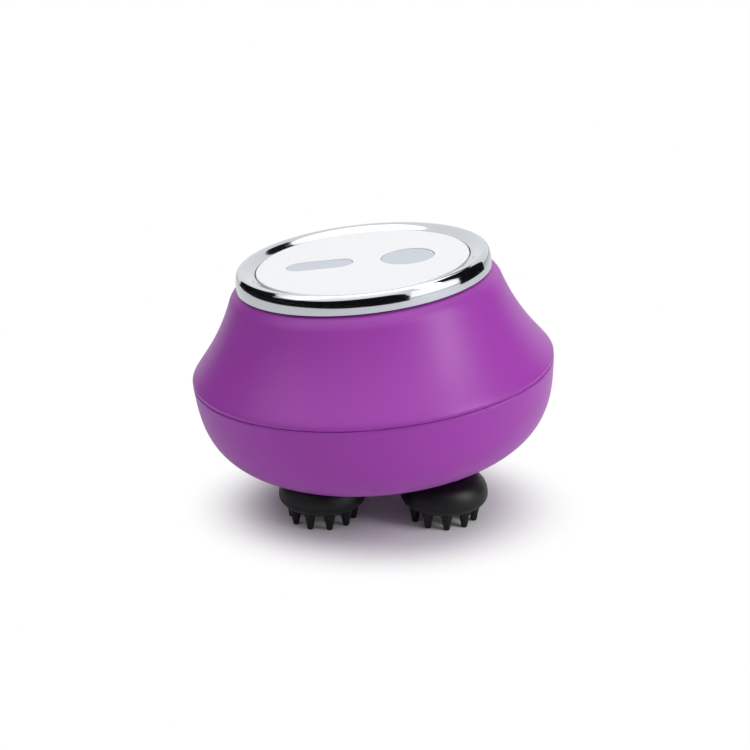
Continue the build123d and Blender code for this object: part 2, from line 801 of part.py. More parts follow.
with BuildPart() as motor_end_cap:
    with BuildSketch(Plane.XY.offset(motor_top)):
        with Locations((drive_x, 0)):
            Circle(motor_cap_radius)
    extrude(amount=motor_cap_height)
save(motor_end_cap.part, "motor_end_cap")

motor_screw_seats = [upward(p) for p in on_plane(Plane.XY, cover_z, motor_screw_places)]
motor_screw_length = plate_thickness + motor_screw_bite
save(screw_group(motor_screw_seats, m2_screw, motor_screw_length), "gearmotor_screws")

with BuildPart() as output_shaft:
    with BuildSketch(Plane.XY.offset(hub_bottom)):
        with Locations((drive_x, 0)):
            Circle(shaft_radius)
    extrude(amount=cover_top + gearbox_height / 2 - axial_gap - hub_bottom)
save(output_shaft.part, "output_shaft")

drive_face = gear_sketch(drive_teeth)
with BuildPart() as drive_gear:
    with BuildSketch(Plane.XY.offset(gear_bottom)):
        with Locations((drive_x, 0)):
            add(drive_face)
    extrude(amount=gear_face)
    with BuildSketch(Plane.XY.offset(gear_bottom)):
        with Locations((drive_x, 0)):
            Circle(output_boss_radius)
    extrude(amount=hub_top - gear_bottom)
    with BuildSketch(Plane.XY.offset(gear_bottom)):
        with Locations((drive_x, 0)):
            Circle(shaft_radius)
    extrude(amount=hub_top - gear_bottom, mode=Mode.SUBTRACT)
save(drive_gear.part, "drive_gear")

# ---- the four heads ----------------------------------------------------------------------
head_face = gear_sketch(head_teeth)
for head_name, (x, y) in head_places.items():
    # Turned so that a gap of this gear meets the drive gear's tooth on the centre line.
    bearing = degrees(atan2(y, x - drive_x))
    tooth_turns = bearing * drive_teeth / 360
    mesh_share = tooth_turns - floor(tooth_turns)
    gear_turn = bearing + 180 + (mesh_share + 0.5) * 360 / head_teeth
    with BuildPart() as head_gear:
        with BuildSketch(Plane.XY.offset(gear_bottom)):
            with Locations(Location((x, y, 0), (0, 0, gear_turn))):
                add(head_face)
        extrude(amount=gear_face)
        with BuildSketch(Plane.XY.offset(hub_bottom)):
            with Locations((x, y)):
                Circle(hub_radius)
        extrude(amount=hub_length)
        with BuildSketch(Plane.XY.offset(hub_bottom)):
            with Locations((x, y)):
                Circle(shaft_radius)
        extrude(amount=hub_length, mode=Mode.SUBTRACT)
    save(head_gear.part, f"{head_name}_gear")

    with BuildPart() as head_shaft:
        with BuildSketch(Plane.XY.offset(shaft_seat_z)):
            with Locations((x, y)):
                Circle(shaft_radius)
        extrude(amount=shaft_top - shaft_seat_z)
        chamfer(head_shaft.faces().sort_by(Axis.Z)[-1].edges(), shaft_chamfer)
        with BuildSketch(Plane.XY.offset(shaft_seat_z)):
            with Locations((x, y)):
                Circle(m25_screw[0] + thread_gap)
        extrude(amount=head_screw_length, mode=Mode.SUBTRACT)
    save(head_shaft.part, f"{head_name}_shaft")

    head_plane = Plane(origin=(x, y, 0))
    head_section = Plane(origin=(x, y, 0), x_dir=(1, 0, 0), z_dir=(0, -1, 0))
    head_axis = Axis((x, y, 0), (0, 0, 1))
    with BuildPart() as carrier_block:
        with BuildSketch(head_plane.offset(carrier_floor_z)):
            Circle(carrier_radius)
        extrude(amount=carrier_top_z - carrier_floor_z)
        fillet(carrier_block.edges().filter_by(GeomType.CIRCLE), carrier_round)
        with BuildSketch(head_plane.offset(carrier_top_z)):
            Circle(carrier_hub_radius)
        extrude(amount=dome_top_z - carrier_top_z)

    with BuildPart() as head_carrier:
        add(carrier_block.part)
        with BuildSketch(head_plane.offset(shaft_seat_z)):
            Circle(shaft_radius)
        extrude(amount=dome_top_z - shaft_seat_z, mode=Mode.SUBTRACT)
        with BuildSketch(head_plane.offset(carrier_floor_z)):
            Circle(m25_screw[0] + screw_clearance)
        extrude(amount=shaft_seat_z - carrier_floor_z, mode=Mode.SUBTRACT)
        with BuildSketch(head_plane.offset(carrier_floor_z)):
            Circle(m25_screw[1] + screw_clearance)
        extrude(amount=m25_screw[2] + screw_clearance, mode=Mode.SUBTRACT)
    save(head_carrier.part, f"{head_name}_carrier")

    screw_seat = Plane(origin=(x, y, carrier_floor_z + m25_screw[2] + screw_clearance))
    save(screw(upward(screw_seat), m25_screw, head_screw_length), f"{head_name}_screw")

    with BuildPart() as head_cap:
        with BuildSketch(head_section):
            with BuildLine():
                Line((0, dome_floor_z), (dome_floor_radius, dome_floor_z))
                Spline(
                    (dome_floor_radius, dome_floor_z),
                    (dome_radius, dome_belly_z),
                    (dome_top_radius, dome_top_z),
                    tangents=(dome_floor_slope, dome_top_slope),
                )
                Line((dome_top_radius, dome_top_z), (0, dome_top_z))
                Line((0, dome_top_z), (0, dome_floor_z))
            make_face()
        revolve(axis=head_axis)
        with Locations(head_plane):
            first_finger = finger_phase[head_name] - 90
            with PolarLocations(finger_circle, fingers_per_head, start_angle=first_finger):
                with Locations((0, 0, finger_root_z / 2)):
                    Cone(finger_tip_radius, finger_root_radius, finger_root_z)
        fillet(head_cap.edges().group_by(Axis.Z)[0], finger_tip_round)
        add(carrier_block.part, mode=Mode.SUBTRACT)
        with BuildSketch(head_plane.offset(carrier_top_z)):
            Circle(carrier_hub_radius + cap_wall)
        extrude(amount=dome_top_z - carrier_top_z, mode=Mode.SUBTRACT)
    save(head_cap.part, f"{head_name}_cap")

# ---- battery and main board --------------------------------------------------------------
cell_plane = Plane(origin=(drive_x, cell_y, cell_z), x_dir=(0, 1, 0), z_dir=(1, 0, 0))
with BuildPart() as battery_cradle:
    with BuildSketch(Plane.XY.offset(cover_top)):
        with Locations((drive_x, cell_y)):
            Rectangle(cradle_length, cradle_width)
        with Locations(*cradle_screw_places):
            Circle(cradle_ear_radius)
        with Locations((drive_x, cradle_ear_y + cradle_strap_width / 2)):
            Rectangle(2 * cradle_ear_x, cradle_strap_width)
        with Locations(*cradle_screw_places):
            Circle(m2_screw[0] + screw_clearance, mode=Mode.SUBTRACT)
        with Locations((drive_x, pillar_offset)):
            Circle(m25_screw[1] + 2 * screw_clearance, mode=Mode.SUBTRACT)
    extrude(amount=cradle_base)
    for side in (-1, 1):
        saddle_x = drive_x + side * saddle_spacing / 2 - saddle_width / 2
        with BuildSketch(cell_plane.offset(saddle_x - drive_x)):
            Circle(cell_radius + cradle_wall)
            with Locations((0, cell_radius)):
                above_saddle = 2 * (1 - saddle_wrap) * cell_radius
                Rectangle(4 * cell_radius, above_saddle, mode=Mode.SUBTRACT)
            with Locations((0, -2 * cell_radius - cradle_base)):
                Rectangle(4 * cell_radius, 2 * cell_radius, mode=Mode.SUBTRACT)
        extrude(amount=saddle_width)
    with BuildSketch(cell_plane):
        Circle(cell_radius)
    extrude(amount=cell_length / 2, both=True, mode=Mode.SUBTRACT)
save(battery_cradle.part, "battery_cradle")

with BuildPart() as battery_cell:
    with BuildSketch(cell_plane):
        Circle(cell_radius)
    extrude(amount=cell_length / 2, both=True)
    fillet(battery_cell.edges(), cell_edge_round)
    with BuildSketch(cell_plane.offset(cell_length / 2)):
        Circle(cell_nub_radius)
    extrude(amount=cell_nub_length)
save(battery_cell.part, "battery_cell")

cradle_seats = on_plane(Plane.XY, cover_top + cradle_base, cradle_screw_places)
save(screw_group(cradle_seats, m2_screw, cradle_base + cradle_screw_bite), "cradle_screws")

with BuildPart() as main_board:
    with BuildSketch(Plane.XY.offset(main_board_z)):
        with Locations((drive_x, main_board_y)):
            Rectangle(main_board_length, main_board_width)
        with Locations(*main_post_places):
            Circle(m2_screw[0] + screw_clearance, mode=Mode.SUBTRACT)
    extrude(amount=board_thickness)
save(main_board.part, "main_board")

with BuildPart() as main_board_parts:
    for x, y, length, width, height in main_block_parts:
        with BuildSketch(Plane.XY.offset(main_board_top)):
            with Locations((drive_x + x, main_board_y + y)):
                Rectangle(length, width)
        extrude(amount=height)
    with BuildSketch(Plane.XY.offset(main_board_top)):
        with Locations((drive_x + capacitor_x, main_board_y)):
            Circle(capacitor_radius)
    extrude(amount=capacitor_height)
save(main_board_parts.part, "main_board_parts")

main_seats = on_plane(Plane.XY, main_board_top, main_post_places)
save(screw_group(main_seats, m2_screw, board_thickness + screw_bite), "main_board_screws")
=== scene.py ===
import json
import math

import bmesh
import bpy
from mathutils import Matrix, Vector


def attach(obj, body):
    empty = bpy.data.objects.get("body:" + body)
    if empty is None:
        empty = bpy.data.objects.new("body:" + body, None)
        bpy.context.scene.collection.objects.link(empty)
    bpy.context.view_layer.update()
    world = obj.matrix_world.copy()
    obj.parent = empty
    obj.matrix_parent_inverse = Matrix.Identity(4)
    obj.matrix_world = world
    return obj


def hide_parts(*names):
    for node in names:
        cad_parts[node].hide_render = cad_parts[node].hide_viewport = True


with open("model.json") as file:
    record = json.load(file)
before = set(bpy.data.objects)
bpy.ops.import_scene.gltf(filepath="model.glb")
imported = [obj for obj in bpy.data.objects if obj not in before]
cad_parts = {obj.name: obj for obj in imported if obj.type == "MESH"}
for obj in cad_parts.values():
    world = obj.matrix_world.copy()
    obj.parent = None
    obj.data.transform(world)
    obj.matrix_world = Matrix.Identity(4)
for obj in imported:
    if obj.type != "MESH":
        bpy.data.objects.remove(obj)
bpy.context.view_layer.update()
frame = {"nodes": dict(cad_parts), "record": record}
nodes = frame["nodes"]

# Cordless scalp massager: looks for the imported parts.  Metres, +Z up, -Y toward the user.
MM = 0.001

# ---- places shared with the solids --------------------------------------------------------
SHELL_LEAN = math.radians(4.84)
FACE_LEAN = math.radians(6.0)
SEAM_HEIGHT = 41.0 * MM
FACE_HEIGHT = 27.2 * MM    # along the shell's axis, from the seam to the ring's seat
FACE_SHIFT = -0.3 * MM     # of the ring's seat along X, off the shell's axis


def leaning(origin, angle):
    """Matrix of a place whose up direction leans toward -X."""
    turn = Matrix.Rotation(-angle, 4, "Y")
    return Matrix.Translation(origin) @ turn


SHELL = leaning(Vector((0, 0, SEAM_HEIGHT)), SHELL_LEAN)
FACE = leaning(SHELL @ Vector((0, 0, FACE_HEIGHT)) + Vector((FACE_SHIFT, 0, 0)), FACE_LEAN)

# Each head's axis on the table, and the angle of its first finger in degrees, from the user's
# side toward +X.
HEADS = {
    "front_left": (Vector((-14.5, -17.5, 0)) * MM, 14.0),
    "front_right": (Vector((20.5, -17.5, 0)) * MM, 3.5),
    "rear_left": (Vector((-14.5, 17.5, 0)) * MM, 8.0),
    "rear_right": (Vector((20.5, 17.5, 0)) * MM, 20.0),
}
USER_SIDE = -90.0    # the user's side, in degrees from +X


# ---- node trees --------------------------------------------------------------------------
def add_node(tree, kind, **settings):
    """Adds one node to a tree, with its own settings given by name."""
    node = tree.nodes.new(kind)
    for name, value in settings.items():
        setattr(node, name, value)
    return node


# ---- materials ---------------------------------------------------------------------------
DRIFT_SCALE = 55.0    # patches of tone about 18 mm across
DRIFT_DETAIL = 3.0
GRAIN_DETAIL = 2.0
SHEEN_ROUGHNESS = 0.35

# Sockets of a Mix node that mixes colours, where several sockets share one name.
MIX_FACTOR, MIX_FIRST, MIX_SECOND, MIX_RESULT = 0, 6, 7, 2


def linear(red, green, blue):
    """A colour given in 0-255 steps, as the shader's own linear values."""
    steps = []
    for value in (red, green, blue):
        value /= 255
        steps.append(value / 12.92 if value <= 0.04045 else ((value + 0.055) / 1.055) ** 2.4)
    return (*steps, 1.0)


def finish_material(name, colour, roughness, grain, depth, metallic=0.0, swing=0.04,
                    gloss_swing=0.06, coat=0.0, coat_roughness=0.1, sheen=0.0, specular=0.5):
    """A moulded, plated or painted finish: fine grain, slow drift of tone, uneven polish.

    grain is the size of the grain and depth its height, both in millimetres.  swing is how far
    the tone drifts, as a share of the colour, and gloss_swing how far the roughness does.
    """
    material = bpy.data.materials.new(name)
    material.use_nodes = True
    tree = material.node_tree
    link = tree.links.new
    shader = tree.nodes["Principled BSDF"]
    place = add_node(tree, "ShaderNodeTexCoord").outputs["Object"]

    drift = add_node(tree, "ShaderNodeTexNoise")
    drift.inputs["Scale"].default_value = DRIFT_SCALE
    drift.inputs["Detail"].default_value = DRIFT_DETAIL
    link(place, drift.inputs["Vector"])

    tone = add_node(tree, "ShaderNodeMix", data_type="RGBA")
    darker = [value * (1 - swing) for value in colour[:3]]
    lighter = [min(value * (1 + swing), 1.0) for value in colour[:3]]
    tone.inputs[MIX_FIRST].default_value = (*darker, 1.0)
    tone.inputs[MIX_SECOND].default_value = (*lighter, 1.0)
    link(drift.outputs["Fac"], tone.inputs[MIX_FACTOR])
    link(tone.outputs[MIX_RESULT], shader.inputs["Base Color"])

    fine = add_node(tree, "ShaderNodeTexNoise")
    fine.inputs["Scale"].default_value = 1.0 / (grain * MM)
    fine.inputs["Detail"].default_value = GRAIN_DETAIL
    link(place, fine.inputs["Vector"])

    polish = add_node(tree, "ShaderNodeMapRange")
    polish.inputs["To Min"].default_value = max(roughness - gloss_swing, 0.0)
    polish.inputs["To Max"].default_value = min(roughness + gloss_swing, 1.0)
    link(fine.outputs["Fac"], polish.inputs["Value"])
    link(polish.outputs["Result"], shader.inputs["Roughness"])

    bump = add_node(tree, "ShaderNodeBump")
    bump.inputs["Strength"].default_value = 1.0
    bump.inputs["Distance"].default_value = depth * MM
    link(fine.outputs["Fac"], bump.inputs["Height"])
    link(bump.outputs["Normal"], shader.inputs["Normal"])

    shader.inputs["Metallic"].default_value = metallic
    shader.inputs["Specular IOR Level"].default_value = specular
    shader.inputs["Coat Weight"].default_value = coat
    shader.inputs["Coat Roughness"].default_value = coat_roughness
    shader.inputs["Sheen Weight"].default_value = sheen
    shader.inputs["Sheen Roughness"].default_value = SHEEN_ROUGHNESS
    return material


soft_touch_purple = finish_material(
    "soft_touch_purple", linear(154, 55, 166), 0.38, grain=0.35, depth=0.004, swing=0.03,
    gloss_swing=0.03, sheen=0.05, specular=0.32)
plated_chrome = finish_material(
    "plated_chrome", linear(202, 206, 211), 0.08, metallic=1.0, grain=2.0, depth=0.0005,
    swing=0.01, gloss_swing=0.02)
panel_white = finish_material(
    "panel_white", linear(240, 242, 244), 0.34, grain=0.5, depth=0.001, swing=0.008,
    gloss_swing=0.04, coat=0.1, coat_roughness=0.15)
key_grey = finish_material(
    "key_grey", linear(202, 208, 218), 0.45, grain=0.3, depth=0.003, swing=0.012,
    specular=0.3)
silicone_black = finish_material(
    "silicone_black", linear(7, 7, 8), 0.46, grain=0.22, depth=0.008, swing=0.10,
    gloss_swing=0.08, specular=0.36)
seal_grey = finish_material("seal_grey", linear(52, 52, 55), 0.65, grain=0.3, depth=0.006)
nylon_black = finish_material("nylon_black", linear(34, 34, 36), 0.5, grain=0.5, depth=0.01)
frame_grey = finish_material("frame_grey", linear(118, 120, 124), 0.5, grain=0.5, depth=0.01)
acetal_white = finish_material(
    "acetal_white", linear(228, 226, 218), 0.38, grain=0.6, depth=0.004)
ground_steel = finish_material(
    "ground_steel", linear(176, 177, 180), 0.28, metallic=1.0, grain=0.25, depth=0.003)
bush_bronze = finish_material(
    "bush_bronze", linear(166, 122, 66), 0.42, metallic=1.0, grain=0.15, depth=0.008)
contact_metal = finish_material(
    "contact_metal", linear(222, 186, 104), 0.22, metallic=1.0, grain=0.3, depth=0.002)
board_green = finish_material(
    "board_green", linear(22, 92, 50), 0.3, grain=0.8, depth=0.004, coat=0.4)
chip_black = finish_material("chip_black", linear(30, 30, 32), 0.55, grain=0.2, depth=0.006)
cell_sleeve = finish_material("cell_sleeve", linear(44, 92, 160), 0.32, grain=1.2, depth=0.01)

finishes = {
    "shell_purple": soft_touch_purple,
    "chrome_ring": plated_chrome,
    "panel_white": panel_white,
    "key_grey": key_grey,
    "silicone_black": silicone_black,
    "seal_grey": seal_grey,
    "carrier_black": nylon_black,
    "frame_grey": frame_grey,
    "gear_white": acetal_white,
    "steel": ground_steel,
    "bush_bronze": bush_bronze,
    "contact_brass": contact_metal,
    "board_green": board_green,
    "chip_black": chip_black,
    "cell_blue": cell_sleeve,
}
for part in frame["record"]["subparts"]:
    solid = nodes[part["node"]]
    solid.data.materials.clear()
    solid.data.materials.append(finishes[part["material_slot"]])


# ---- mesh helpers ------------------------------------------------------------------------
MERGE_DISTANCE = 1e-7          # points nearer than this are one point
CREASE = math.radians(35)      # a turned piece's edges sharper than this stay crisp


def keep_mesh(name, mesh, material):
    """Puts a finished mesh into the scene as a piece at the origin."""
    mesh.materials.clear()
    mesh.materials.append(material)
    piece = bpy.data.objects.new(name, mesh)
    bpy.context.scene.collection.objects.link(piece)
    return piece


def bezier(start, start_pull, end_pull, end, steps):
    """Points along one curve, its start included and its end left to the next run."""
    points = []
    for step in range(steps):
        done = step / steps
        left = 1 - done
        points.append(tuple(
            left ** 3 * a + 3 * left * left * done * b + 3 * left * done * done * c + done ** 3 * d
            for a, b, c, d in zip(start, start_pull, end_pull, end)
        ))
    return points


def turned(outline, place, around):
    """Vertices and faces of a closed outline, radius and height in mm, turned about a place."""
    vertices, faces, rings = [], [], []
    for radius, height in outline:
        if radius == 0:
            rings.append([len(vertices)])
            vertices.append(place @ Vector((0, 0, height * MM)))
            continue
        rings.append(list(range(len(vertices), len(vertices) + around)))
        for step in range(around):
            angle = 2 * math.pi * step / around
            vertices.append(place @ Vector((
                radius * MM * math.cos(angle), radius * MM * math.sin(angle), height * MM)))

    # An outline that starts and ends on the axis closes there, and any other on its own start.
    bands = list(zip(rings, rings[1:]))
    if len(rings[0]) > 1:
        bands.append((rings[-1], rings[0]))
    for low, high in bands:
        for step in range(around):
            after = (step + 1) % around
            if len(low) == 1:
                faces.append((low[0], high[after], high[step]))
            elif len(high) == 1:
                faces.append((low[step], low[after], high[0]))
            else:
                faces.append((low[step], low[after], high[after], high[step]))
    return vertices, faces


def settle_normals(mesh):
    """Turns every face of a closed mesh outward."""
    work = bmesh.new()
    work.from_mesh(mesh)
    bmesh.ops.remove_doubles(work, verts=work.verts, dist=MERGE_DISTANCE)
    bmesh.ops.recalc_face_normals(work, faces=work.faces)
    work.to_mesh(mesh)
    work.free()


def turned_piece(name, outline, place, material, around=160):
    """A lathe-turned piece with smooth sides and crisp edges."""
    vertices, faces = turned(outline, place, around)
    mesh = bpy.data.meshes.new(name)
    mesh.from_pydata([tuple(vertex) for vertex in vertices], [], faces)
    settle_normals(mesh)
    mesh.shade_smooth()
    mesh.set_sharp_from_angle(angle=CREASE)
    return keep_mesh(name, mesh, material)


# ---- chrome ring -------------------------------------------------------------------------
# Section of the ring, radius and height above its seat in mm: up the inner slope to the crest,
# over it, down the outer wall, and back along the flat underside.
RING_OUTLINE = (
    bezier((30.95, 3.7), (31.9, 3.95), (33.6, 5.14), (34.9, 5.14), 24)
    + bezier((34.9, 5.14), (35.7, 5.14), (36.17, 4.45), (36.35, 3.7), 20)
    + bezier((36.35, 3.7), (36.5, 3.1), (36.65, 2.4), (36.65, 1.7), 14)
    + [(36.65, 1.7), (36.65, 0.0), (30.95, 0.0)]
)
ring = turned_piece("chrome_ring", RING_OUTLINE, FACE, plated_chrome, around=360)
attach(ring, "housing")
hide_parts("bezel_ring")


# ---- kneading heads ----------------------------------------------------------------------
# Section of the rubber dome, radius and height above the table in mm: out along the underside
# that carries the fingers, round the flank and over the top, and back inside round the carrier.
DOME_OUTLINE = (
    [(0.0, 4.25), (2.5, 4.2), (5.0, 4.08)]
    + bezier((7.0, 4.0), (9.2, 4.0), (12.62, 5.3), (12.62, 7.9), 26)
    + bezier((12.62, 7.9), (12.62, 10.6), (11.3, 12.75), (9.0, 13.2), 22)
    + [(9.0, 13.2), (6.1, 13.2), (6.1, 11.7), (10.8, 11.7), (10.8, 5.9), (0.0, 5.9)]
)

# A finger from its tip on the table to its root: share of its length, share of its root radius.
FINGER_PROFILE = (
    (0.0, 0.265), (0.022, 0.375), (0.06, 0.42), (0.14, 0.455), (0.40, 0.575),
    (0.58, 0.665), (0.74, 0.78), (0.87, 0.91), (1.0, 1.0),
)
FINGER_STEPS = 44
FINGER_SIDES = 22
FINGER_CREASE = math.radians(50)


def finger_ring_tree():
    """Geometry Nodes: a ring of tapering rubber fingers with flared roots and round tips."""
    tree = bpy.data.node_groups.new("finger_ring", "GeometryNodeTree")
    sizes = (
        ("Fingers", "NodeSocketInt", 10),
        ("Ring Radius", "NodeSocketFloat", 8.9 * MM),
        ("First Turn", "NodeSocketFloat", 0.0),
        ("Length", "NodeSocketFloat", 5.4 * MM),
        ("Root Radius", "NodeSocketFloat", 2.1 * MM),
        ("Centre", "NodeSocketVector", (0.0, 0.0, 0.0)),
        ("Rubber", "NodeSocketMaterial", None),
    )
    for name, kind, value in sizes:
        socket = tree.interface.new_socket(name, in_out="INPUT", socket_type=kind)
        if value is not None:
            socket.default_value = value
    tree.interface.new_socket("Geometry", in_out="OUTPUT", socket_type="NodeSocketGeometry")
    given = add_node(tree, "NodeGroupInput").outputs
    link = tree.links.new

    # One finger, drawn as an upright line whose thickness follows the finger's profile.
    reach = add_node(tree, "ShaderNodeCombineXYZ")
    link(given["Length"], reach.inputs["Z"])
    spine = add_node(tree, "GeometryNodeCurvePrimitiveLine")
    link(reach.outputs[0], spine.inputs["End"])
    dense = add_node(tree, "GeometryNodeResampleCurve")
    dense.inputs["Count"].default_value = FINGER_STEPS
    link(spine.outputs["Curve"], dense.inputs["Curve"])
    along = add_node(tree, "GeometryNodeSplineParameter")
    shape = add_node(tree, "ShaderNodeFloatCurve")
    outline = shape.mapping.curves[0]
    outline.points[0].location = FINGER_PROFILE[0]
    outline.points[1].location = FINGER_PROFILE[-1]
    for point in FINGER_PROFILE[1:-1]:
        outline.points.new(*point)
    shape.mapping.update()
    link(along.outputs["Factor"], shape.inputs["Value"])
    thick = add_node(tree, "ShaderNodeMath", operation="MULTIPLY")
    link(shape.outputs[0], thick.inputs[0])
    link(given["Root Radius"], thick.inputs[1])
    round_section = add_node(tree, "GeometryNodeCurvePrimitiveCircle")
    round_section.inputs["Resolution"].default_value = FINGER_SIDES
    round_section.inputs["Radius"].default_value = 1.0
    finger = add_node(tree, "GeometryNodeCurveToMesh")
    finger.inputs["Fill Caps"].default_value = True
    link(dense.outputs["Curve"], finger.inputs["Curve"])
    link(round_section.outputs["Curve"], finger.inputs["Profile Curve"])
    link(thick.outputs[0], finger.inputs["Scale"])

    # The ring of places, turned to the first finger and set under its head.
    circle = add_node(tree, "GeometryNodeCurvePrimitiveCircle")
    link(given["Fingers"], circle.inputs["Resolution"])
    link(given["Ring Radius"], circle.inputs["Radius"])
    turn = add_node(tree, "ShaderNodeCombineXYZ")
    link(given["First Turn"], turn.inputs["Z"])
    placed = add_node(tree, "GeometryNodeTransform")
    link(circle.outputs["Curve"], placed.inputs["Geometry"])
    link(given["Centre"], placed.inputs["Translation"])
    link(turn.outputs[0], placed.inputs["Rotation"])
    spots = add_node(tree, "GeometryNodeCurveToPoints", mode="EVALUATED")
    link(placed.outputs[0], spots.inputs["Curve"])
    copies = add_node(tree, "GeometryNodeInstanceOnPoints")
    link(spots.outputs["Points"], copies.inputs["Points"])
    link(finger.outputs["Mesh"], copies.inputs["Instance"])
    real = add_node(tree, "GeometryNodeRealizeInstances")
    link(copies.outputs[0], real.inputs[0])
    coated = add_node(tree, "GeometryNodeSetMaterial")
    link(real.outputs[0], coated.inputs["Geometry"])
    link(given["Rubber"], coated.inputs["Material"])
    link(coated.outputs[0], add_node(tree, "NodeGroupOutput").inputs["Geometry"])
    return tree


def grown(name, tree, **values):
    """Runs a Geometry Nodes tree with the named values and returns its plain mesh."""
    host = bpy.data.objects.new(name, bpy.data.meshes.new(name))
    bpy.context.scene.collection.objects.link(host)
    modifier = host.modifiers.new(name, "NODES")
    modifier.node_group = tree
    for socket in tree.interface.items_tree:
        key = socket.name.replace(" ", "_").lower()
        if socket.in_out == "INPUT" and key in values:
            modifier[socket.identifier] = values[key]
    ready = host.evaluated_get(bpy.context.evaluated_depsgraph_get())
    mesh = bpy.data.meshes.new_from_object(ready)
    host.modifiers.remove(modifier)
    bpy.data.objects.remove(host)
    return mesh


finger_ring = finger_ring_tree()
for head, (centre, first_finger) in HEADS.items():
    dome = turned_piece(f"{head}_dome", DOME_OUTLINE, Matrix.Translation(centre), silicone_black)
    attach(dome, f"{head}_head")
    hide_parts(f"{head}_cap")
    mesh = grown(
        f"{head}_fingers", finger_ring, first_turn=math.radians(first_finger + USER_SIDE),
        centre=centre, rubber=silicone_black)
    settle_normals(mesh)
    mesh.shade_smooth()
    mesh.set_sharp_from_angle(angle=FINGER_CREASE)
    fingers = keep_mesh(f"{head}_fingers", mesh, silicone_black)
    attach(fingers, f"{head}_head")
    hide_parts(f"{head}_cap")


# ---- table -------------------------------------------------------------------------------
TABLE_HALF_WIDTH = 3.0
TABLE_COLOUR = (0.86, 0.86, 0.87, 1.0)

# The table turns plain white outside an oval: its middle, its half lengths along X and Y, and
# the share of them at which the change starts.
FADE_CENTRE = (3.2 * MM, -9.0 * MM, 0.0)
FADE_REACH = (60.0 * MM, 50.0 * MM, 1.0)
FADE_START = 0.48


def stage_mesh(name, vertices, faces, material):
    """A piece of the studio, which isn't part of the object."""
    mesh = bpy.data.meshes.new(name)
    mesh.from_pydata(vertices, [], faces)
    piece = keep_mesh(name, mesh, material)
    return piece


def table_material():
    """White table: takes the object's shadow near it and fades into plain white further out."""
    material = bpy.data.materials.new("white_table")
    material.use_nodes = True
    tree = material.node_tree
    tree.nodes.clear()
    link = tree.links.new
    place = add_node(tree, "ShaderNodeTexCoord")
    oval = add_node(tree, "ShaderNodeMapping", vector_type="TEXTURE")
    oval.inputs["Location"].default_value = FADE_CENTRE
    oval.inputs["Scale"].default_value = FADE_REACH
    link(place.outputs["Object"], oval.inputs["Vector"])
    length = add_node(tree, "ShaderNodeVectorMath", operation="LENGTH")
    link(oval.outputs["Vector"], length.inputs[0])
    fade = add_node(tree, "ShaderNodeMapRange", interpolation_type="SMOOTHSTEP")
    fade.inputs["From Min"].default_value = FADE_START
    link(length.outputs["Value"], fade.inputs["Value"])
    lit = add_node(tree, "ShaderNodeBsdfDiffuse")
    lit.inputs["Color"].default_value = TABLE_COLOUR
    white = add_node(tree, "ShaderNodeEmission")
    rays = add_node(tree, "ShaderNodeLightPath")
    seen = add_node(tree, "ShaderNodeMath", operation="MULTIPLY")
    link(rays.outputs["Is Camera Ray"], seen.inputs[0])
    link(fade.outputs["Result"], seen.inputs[1])
    blend = add_node(tree, "ShaderNodeMixShader")
    link(seen.outputs[0], blend.inputs[0])
    link(lit.outputs[0], blend.inputs[1])
    link(white.outputs[0], blend.inputs[2])
    out = add_node(tree, "ShaderNodeOutputMaterial")
    link(blend.outputs[0], out.inputs["Surface"])
    return material


stage_mesh(
    "table",
    [(-TABLE_HALF_WIDTH, -TABLE_HALF_WIDTH, 0), (TABLE_HALF_WIDTH, -TABLE_HALF_WIDTH, 0),
     (TABLE_HALF_WIDTH, TABLE_HALF_WIDTH, 0), (-TABLE_HALF_WIDTH, TABLE_HALF_WIDTH, 0)],
    [(0, 1, 2, 3)],
    table_material(),
)


# ---- cards that the shiny pieces mirror ---------------------------------------------------
RING_LEVEL = 0.07          # height of the chrome ring, from which elevations are measured
CARD_DISTANCE = 1.5        # of the standing cards, and of the far edge of the lying ones
WALL_CARD_FOOT = 0.0015    # lowest level of a standing card
TABLE_CARD_LEVEL = 0.001   # level of a lying card


def cloth(name, colour, glow=0.0):
    """Material of a studio card: black cloth, or a white card whose glow is painted light, a
    highlight that lights nothing.
    """
    material = bpy.data.materials.new(name)
    material.use_nodes = True
    shader = material.node_tree.nodes["Principled BSDF"]
    shader.inputs["Base Color"].default_value = (colour, colour, colour, 1.0)
    shader.inputs["Roughness"].default_value = 1.0
    shader.inputs["Specular IOR Level"].default_value = 0.0
    shader.inputs["Emission Color"].default_value = (1.0, 1.0, 1.0, 1.0)
    shader.inputs["Emission Strength"].default_value = glow
    return material


black_cloth = cloth("black_cloth", 0.012)
# The two glowing cloths below are painted light: bright cards that show only in reflections, as
# painted highlights, and light nothing.
lit_cloth = cloth("lit_cloth", 0.0, glow=1.6)
ceiling_cloth = cloth("ceiling_cloth", 0.0, glow=1.3)


def card(name, edges, material):
    """A strip between two rows of points that only reflections show."""
    vertices = [point for pair in edges for point in pair]
    starts = range(0, 2 * len(edges) - 2, 2)
    faces = [(start, start + 2, start + 3, start + 1) for start in starts]
    piece = stage_mesh(name, vertices, faces, material)
    piece.visible_camera = False
    piece.visible_diffuse = False
    piece.visible_shadow = False
    piece.visible_transmission = False


def around_object(azimuth, elevation, distance, height):
    """Point in a direction from a height above the middle of the table.

    azimuth is 0 toward the user and grows to the right.
    """
    azimuth, elevation = math.radians(azimuth), math.radians(elevation)
    return (
        distance * math.sin(azimuth) * math.cos(elevation),
        -distance * math.cos(azimuth) * math.cos(elevation),
        height + distance * math.sin(elevation),
    )


def wall_card(name, edges, material):
    """A card standing round the object; each edge gives azimuth, lower and upper elevation."""
    rows = []
    for azimuth, low, high in edges:
        ends = [around_object(azimuth, elevation, CARD_DISTANCE, RING_LEVEL)
                for elevation in (low, high)]
        rows.append(tuple((x, y, max(z, WALL_CARD_FOOT)) for x, y, z in ends))
    card(name, rows, material)


